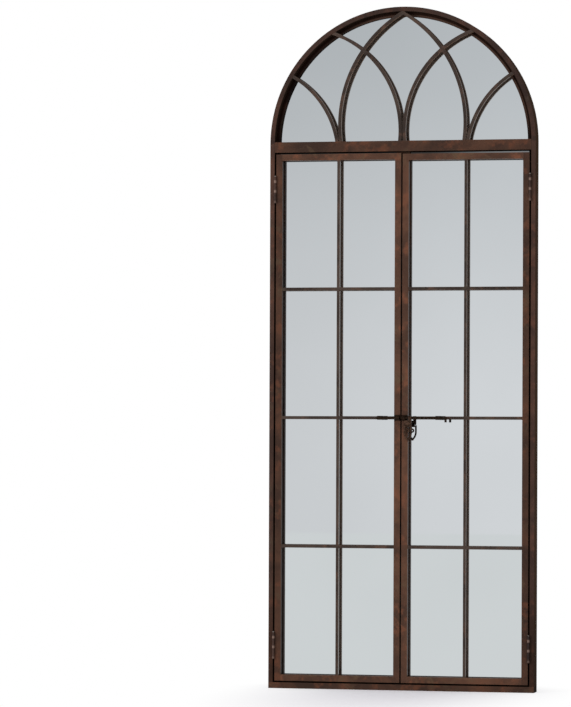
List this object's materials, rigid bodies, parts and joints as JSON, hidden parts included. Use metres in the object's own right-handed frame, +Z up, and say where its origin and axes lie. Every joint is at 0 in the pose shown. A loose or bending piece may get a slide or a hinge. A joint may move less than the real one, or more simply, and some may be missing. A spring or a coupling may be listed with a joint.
{
  "type": "shutter mirror",
  "caption": "Arched metal wall mirror with pointed tracery in its head and two hinged glassless lattice shutters, held by a sliding bolt with a ring pull.",
  "frame": {"origin": "middle of the sill's underside, half-way through the frame's depth", "axes": "+Z up the mirror's height, front face towards -Y, +X to the viewer's right"},
  "size_m": [0.71, 0.0559, 1.7899],
  "materials": {
    "frame_iron": "rust-brown patina over welded flat bar, matt with reddish and olive mottling",
    "shutter_iron": "the same rust-brown patina, a little more worn on the arrises",
    "rebate_iron": "darker patina inside the rebate",
    "mirror": "silvered float glass with a faint blue-grey tint",
    "board": "bare brown hardboard",
    "zinc_steel": "zinc-plated sheet steel, dull",
    "hinge_iron": "hinges painted over with the frame, worn on the knuckles",
    "screw_steel": "plain steel screws, slightly tarnished",
    "pin_steel": "bare steel pins",
    "latch_iron": "near-black waxed iron",
    "ring_iron": "near-black iron rubbed brown where it is held"
  },
  "bodies": {
    "frame": {"arch_hoop": "frame_iron", "left_jamb": "frame_iron", "right_jamb": "frame_iron", "sill": "frame_iron", "transom": "frame_iron", "arch_rebate": "rebate_iron", "left_rebate": "rebate_iron", "right_rebate": "rebate_iron", "sill_rebate": "rebate_iron", "outer_left_tracery": "shutter_iron", "main_left_tracery": "shutter_iron", "inner_left_tracery": "shutter_iron", "inner_right_tracery": "shutter_iron", "main_right_tracery": "shutter_iron", "outer_right_tracery": "shutter_iron", "door_stop": "frame_iron", "mirror_glass": "mirror", "backing_board": "board", "backing_clips": "zinc_steel", "clip_screws": "screw_steel", "left_wall_hanger": "zinc_steel", "right_wall_hanger": "zinc_steel", "upper_left_frame_leaf": "hinge_iron", "lower_left_frame_leaf": "hinge_iron", "upper_right_frame_leaf": "hinge_iron", "lower_right_frame_leaf": "hinge_iron", "hinge_pins": "pin_steel", "frame_leaf_screws": "screw_steel"},
    "left_shutter": {"left_hinge_stile": "shutter_iron", "left_meeting_stile": "shutter_iron", "left_top_rail": "shutter_iron", "left_bottom_rail": "shutter_iron", "left_muntin": "shutter_iron", "left_upper_bar": "shutter_iron", "left_middle_bar": "shutter_iron", "left_lower_bar": "shutter_iron", "upper_left_shutter_leaf": "hinge_iron", "lower_left_shutter_leaf": "hinge_iron", "left_leaf_screws": "screw_steel", "stile_keeper": "latch_iron", "keeper_sleeve": "latch_iron", "muntin_keeper": "latch_iron", "keeper_screws": "latch_iron"},
    "right_shutter": {"right_hinge_stile": "shutter_iron", "right_meeting_stile": "shutter_iron", "right_top_rail": "shutter_iron", "right_bottom_rail": "shutter_iron", "right_muntin": "shutter_iron", "right_upper_bar": "shutter_iron", "right_middle_bar": "shutter_iron", "right_lower_bar": "shutter_iron", "upper_right_shutter_leaf": "hinge_iron", "lower_right_shutter_leaf": "hinge_iron", "right_leaf_screws": "screw_steel", "stile_guide": "latch_iron", "bar_guide": "latch_iron", "guide_screws": "latch_iron"},
    "bolt": {"bolt_rod": "latch_iron", "pull_hanger": "latch_iron"},
    "ring": {"ring_pull": "ring_iron"}
  },
  "joints": [
    {"name": "left_shutter_hinge", "type": "hinge", "parent": "frame", "child": "left_shutter", "pos_m": [-0.34075, -0.0255, 0.71325], "axis": [0, 0, -1], "range_deg": [0, 160]},
    {"name": "right_shutter_hinge", "type": "hinge", "parent": "frame", "child": "right_shutter", "pos_m": [0.34075, -0.0255, 0.71325], "axis": [0, 0, 1], "range_deg": [0, 160]},
    {"name": "bolt_slide", "type": "slide", "parent": "right_shutter", "child": "bolt", "axis": [1, 0, 0], "range_m": [-0.009, 0.0635]},
    {"name": "ring_swing", "type": "hinge", "parent": "bolt", "child": "ring", "pos_m": [0.01975, -0.0287, 0.69205], "axis": [-1, 0, 0], "range_deg": [0, 95]}
  ]
}
